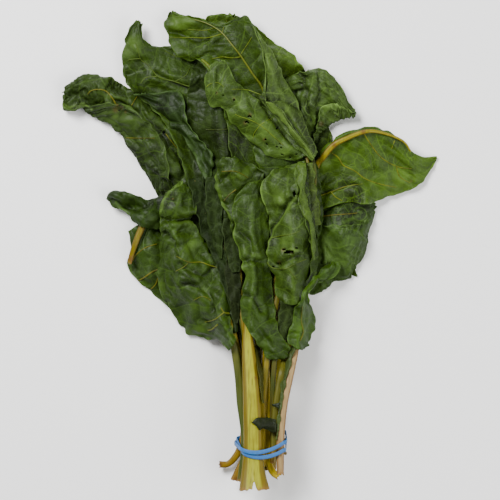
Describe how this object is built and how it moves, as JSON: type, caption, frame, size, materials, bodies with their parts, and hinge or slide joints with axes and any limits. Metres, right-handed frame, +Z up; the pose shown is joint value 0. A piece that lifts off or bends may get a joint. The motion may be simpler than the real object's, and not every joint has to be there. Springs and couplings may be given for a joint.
{
  "type": "rainbow chard bunch",
  "caption": "Bunch of crinkled chard leaves lying on its side, its stalks gathered and held near their cut ends by a flat rubber band.",
  "frame": {"origin": "middle of the bunch's plan, on the surface it lies on", "axes": "+Y from the cut stalk ends towards the leaf tips, +Z up off the surface, +X across the bunch"},
  "size_m": [0.3372, 0.4294, 0.0518],
  "materials": {
    "leaf_dark": "dark green chard leaf, blistered, soft waxy sheen",
    "leaf_deep": "deep green chard leaf, blistered, soft waxy sheen",
    "leaf_mid": "mid green chard leaf, blistered, soft waxy sheen",
    "leaf_lit": "lit green chard leaf, blistered, soft waxy sheen",
    "leaf_pale": "pale green chard leaf, blistered, soft waxy sheen",
    "stalk_cream": "cream chard stalk, fine lengthwise fibres, moist sheen",
    "stalk_yellow": "yellow chard stalk, fine lengthwise fibres, moist sheen",
    "stalk_olive": "olive chard stalk, fine lengthwise fibres, moist sheen",
    "stalk_pink": "pink chard stalk, fine lengthwise fibres, moist sheen",
    "stalk_tan": "tan chard stalk, fine lengthwise fibres, moist sheen",
    "stalk_green": "green chard stalk, fine lengthwise fibres, moist sheen",
    "band": "pale blue flat rubber band, matt"
  },
  "bodies": {
    "root": {"back_blade": "leaf_deep", "back_stalk": "stalk_olive", "crumpled_blade": "leaf_mid", "crumpled_stalk": "stalk_yellow", "shoulder_blade": "leaf_dark", "shoulder_stalk": "stalk_olive", "corner_blade": "leaf_lit", "corner_stalk": "stalk_yellow", "farLeft_blade": "leaf_mid", "farLeft_stalk": "stalk_yellow", "lowLeft_blade": "leaf_mid", "lowLeft_stalk": "stalk_yellow", "leftTip_blade": "leaf_deep", "leftTip_stalk": "stalk_yellow", "horn_blade": "leaf_mid", "horn_stalk": "stalk_olive", "middle_blade": "leaf_dark", "middle_stalk": "stalk_olive", "darkFold_blade": "leaf_dark", "darkFold_stalk": "stalk_green", "leftFront_blade": "leaf_mid", "leftFront_stalk": "stalk_green", "crown_blade": "leaf_lit", "crown_stalk": "stalk_olive", "under_blade": "leaf_mid", "under_stalk": "stalk_yellow", "pierced_blade": "leaf_pale", "pierced_stalk": "stalk_green", "paleFlap_blade": "leaf_pale", "paleFlap_stalk": "stalk_tan", "curl_blade": "leaf_mid", "curl_stalk": "stalk_yellow", "centre_blade": "leaf_mid", "centre_stalk": "stalk_cream", "rightCentre_blade": "leaf_lit", "rightCentre_stalk": "stalk_olive", "lowRight_blade": "leaf_lit", "lowRight_stalk": "stalk_pink", "scrapLong": "leaf_dark", "scrapShort": "leaf_dark", "rubber_band": "band"}
  },
  "joints": []
}
